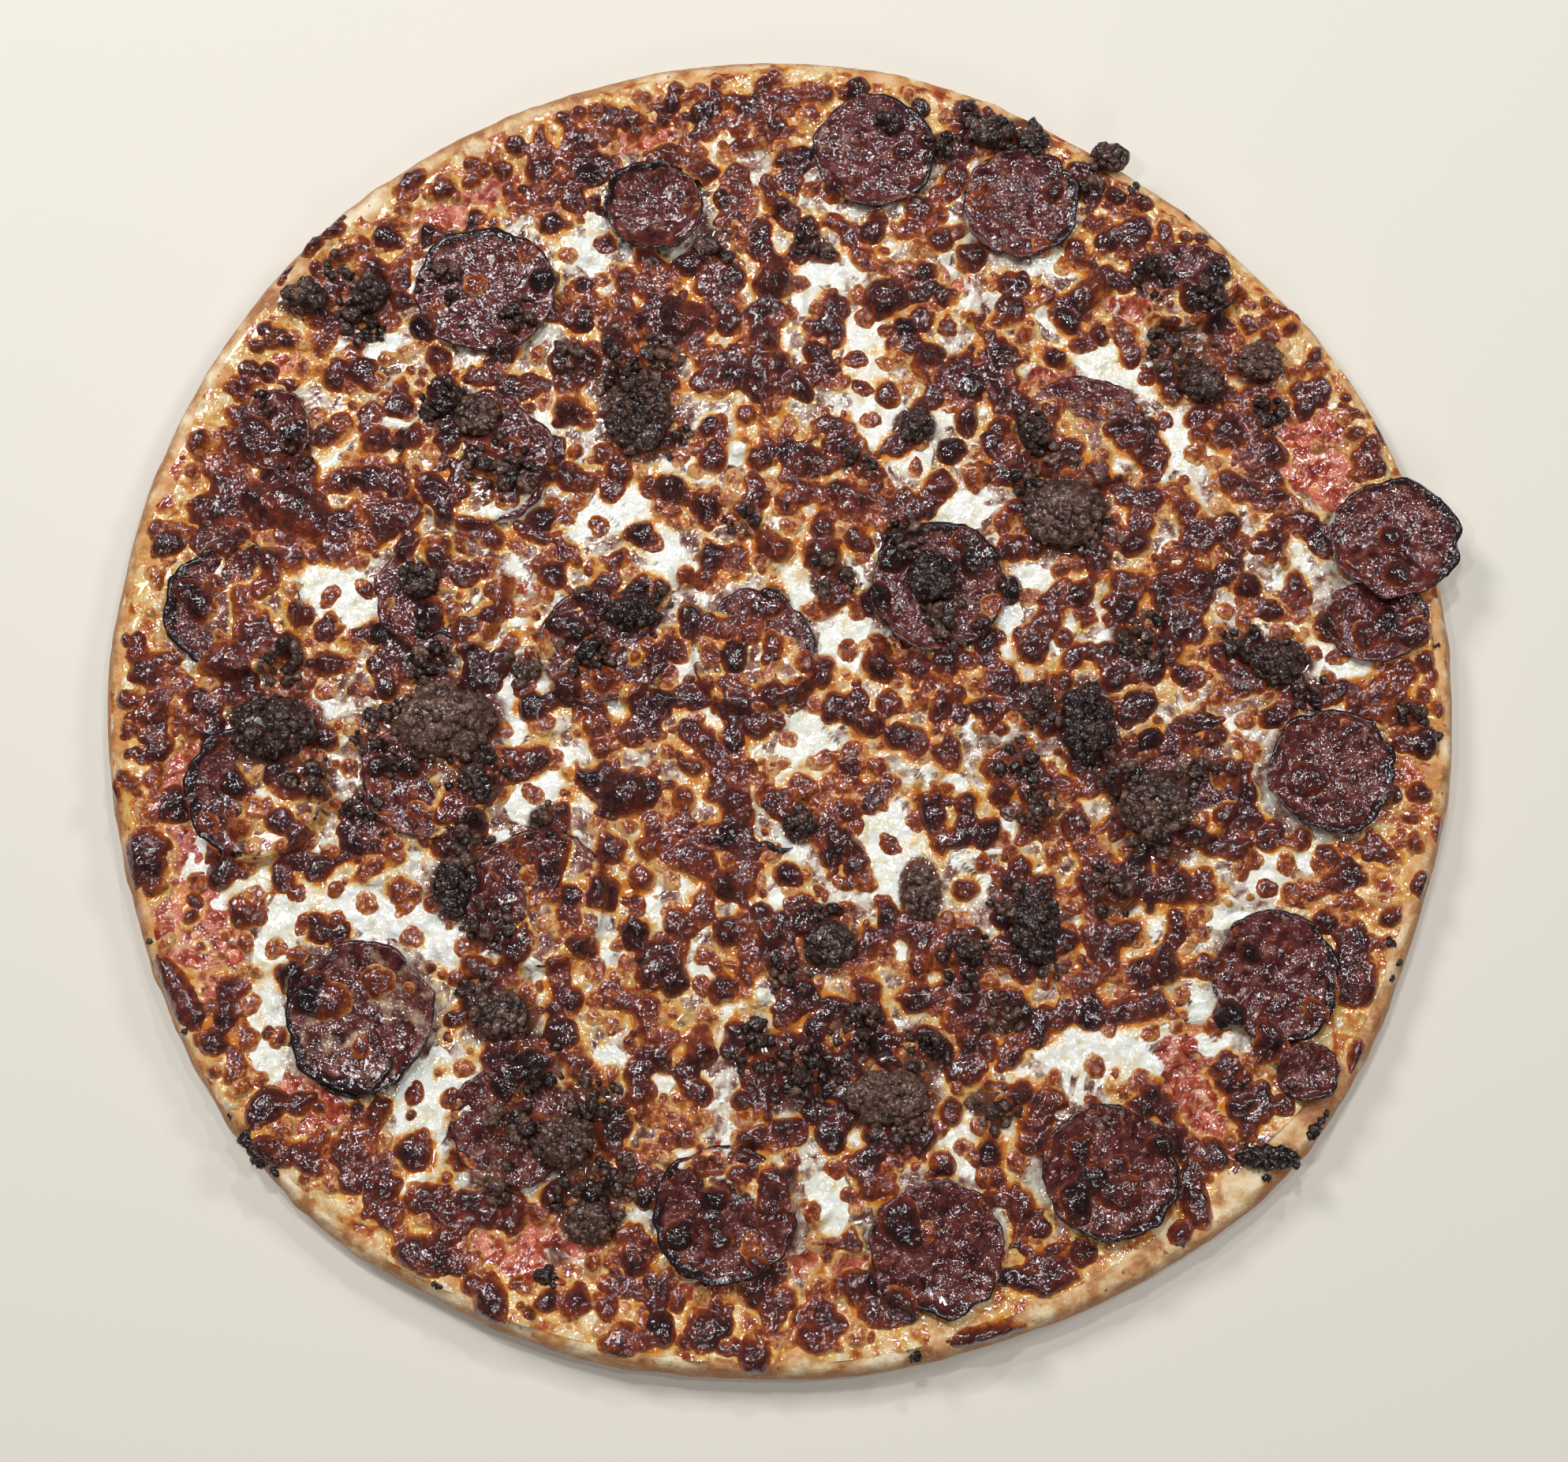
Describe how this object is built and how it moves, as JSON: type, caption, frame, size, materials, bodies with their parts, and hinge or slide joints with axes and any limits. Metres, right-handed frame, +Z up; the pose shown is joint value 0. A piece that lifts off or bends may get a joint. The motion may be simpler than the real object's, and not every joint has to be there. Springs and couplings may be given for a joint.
{
  "type": "meat pizza",
  "caption": "Whole round thin-crust pizza with tomato sauce, browned cheese, curled salami slices and clumps of crumbled meat.",
  "frame": {"origin": "middle of the flat underside of the dough, on the surface it rests on", "axes": "+Z up through the toppings; +X to the right and +Y to the top of the picture, across the round"},
  "size_m": [0.352, 0.3484, 0.021],
  "materials": {
    "dough": "baked crust, matte, pale gold with brown patches",
    "sauce": "moist tomato sauce, satin",
    "cheese": "melted cheese, glossy, white to browned",
    "salami": "baked cured meat, oily, dark red-brown with charred rim",
    "mince": "roasted crumbled meat, rough, dark brown"
  },
  "bodies": {
    "root": {"dough": "dough", "sauce": "sauce", "cheese": "cheese", "salami_01": "salami", "salami_02": "salami", "salami_03": "salami", "salami_04": "salami", "salami_05": "salami", "salami_06": "salami", "salami_07": "salami", "salami_08": "salami", "salami_09": "salami", "salami_10": "salami", "salami_11": "salami", "salami_12": "salami", "salami_13": "salami", "salami_14": "salami", "salami_15": "salami", "salami_16": "salami", "salami_17": "salami", "salami_18": "salami", "salami_19": "salami", "salami_20": "salami", "salami_21": "salami", "salami_22": "salami", "salami_23": "salami", "salami_24": "salami", "salami_25": "salami", "salami_26": "salami", "salami_27": "salami", "mince_01": "mince", "mince_02": "mince", "mince_03": "mince", "mince_04": "mince", "mince_05": "mince", "mince_06": "mince", "mince_07": "mince", "mince_08": "mince", "mince_09": "mince", "mince_10": "mince", "mince_11": "mince", "mince_12": "mince", "mince_13": "mince", "mince_14": "mince", "mince_15": "mince", "mince_16": "mince", "mince_17": "mince", "mince_18": "mince", "mince_19": "mince", "mince_20": "mince", "mince_21": "mince", "mince_22": "mince", "mince_23": "mince", "mince_24": "mince", "mince_25": "mince", "mince_26": "mince", "mince_27": "mince", "mince_28": "mince", "mince_29": "mince"}
  },
  "joints": []
}
